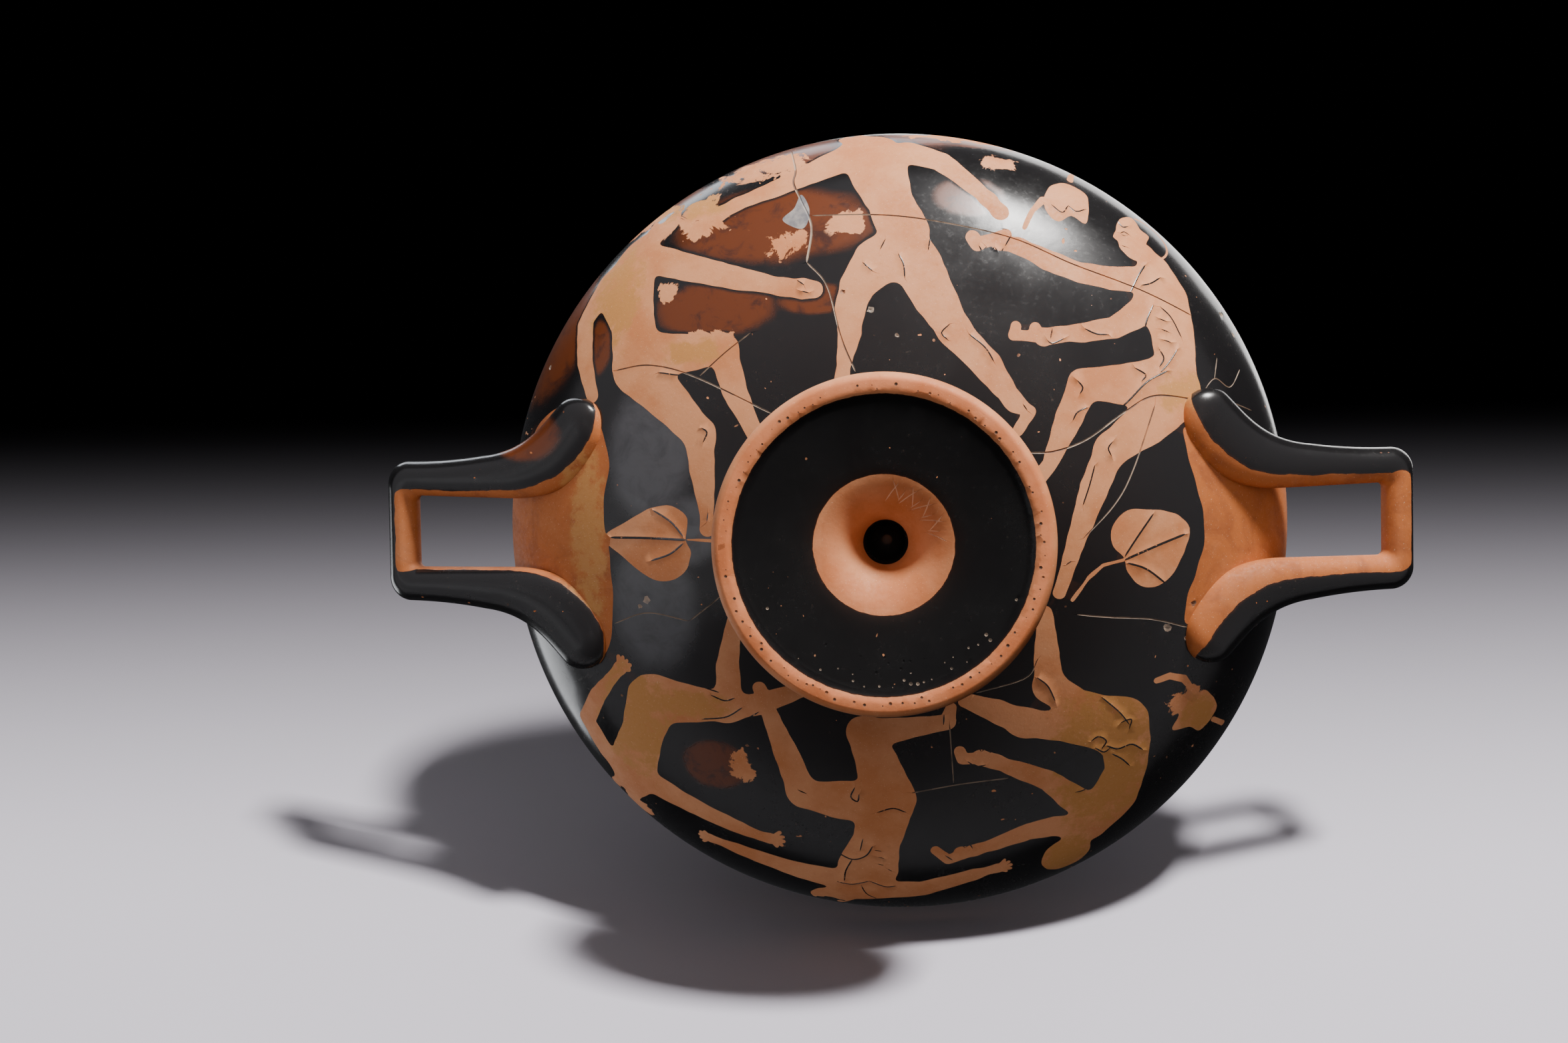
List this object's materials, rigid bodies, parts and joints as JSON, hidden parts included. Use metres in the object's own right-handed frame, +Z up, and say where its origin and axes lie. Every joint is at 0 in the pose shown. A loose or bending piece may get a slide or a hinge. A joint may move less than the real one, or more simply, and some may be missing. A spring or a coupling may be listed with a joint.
{
  "type": "kylix drinking cup",
  "caption": "Broad shallow stemmed drinking cup of glazed clay with a disc foot and horizontal loop handles, painted with athletes and worn with age.",
  "frame": {"origin": "middle of the foot's resting face, at the middle of the whole cup's bounding box in plan", "axes": "+Z up along the bowl's and stem's axis, +X along the handles, +Y across them"},
  "size_m": [0.3156, 0.24, 0.095],
  "materials": {
    "glazed_clay": "glossy near-black slip over orange clay, with orange figures, border and foot ring left unglazed, worn and crazed with age"
  },
  "bodies": {
    "root": {"kylix": "glazed_clay"}
  },
  "joints": []
}
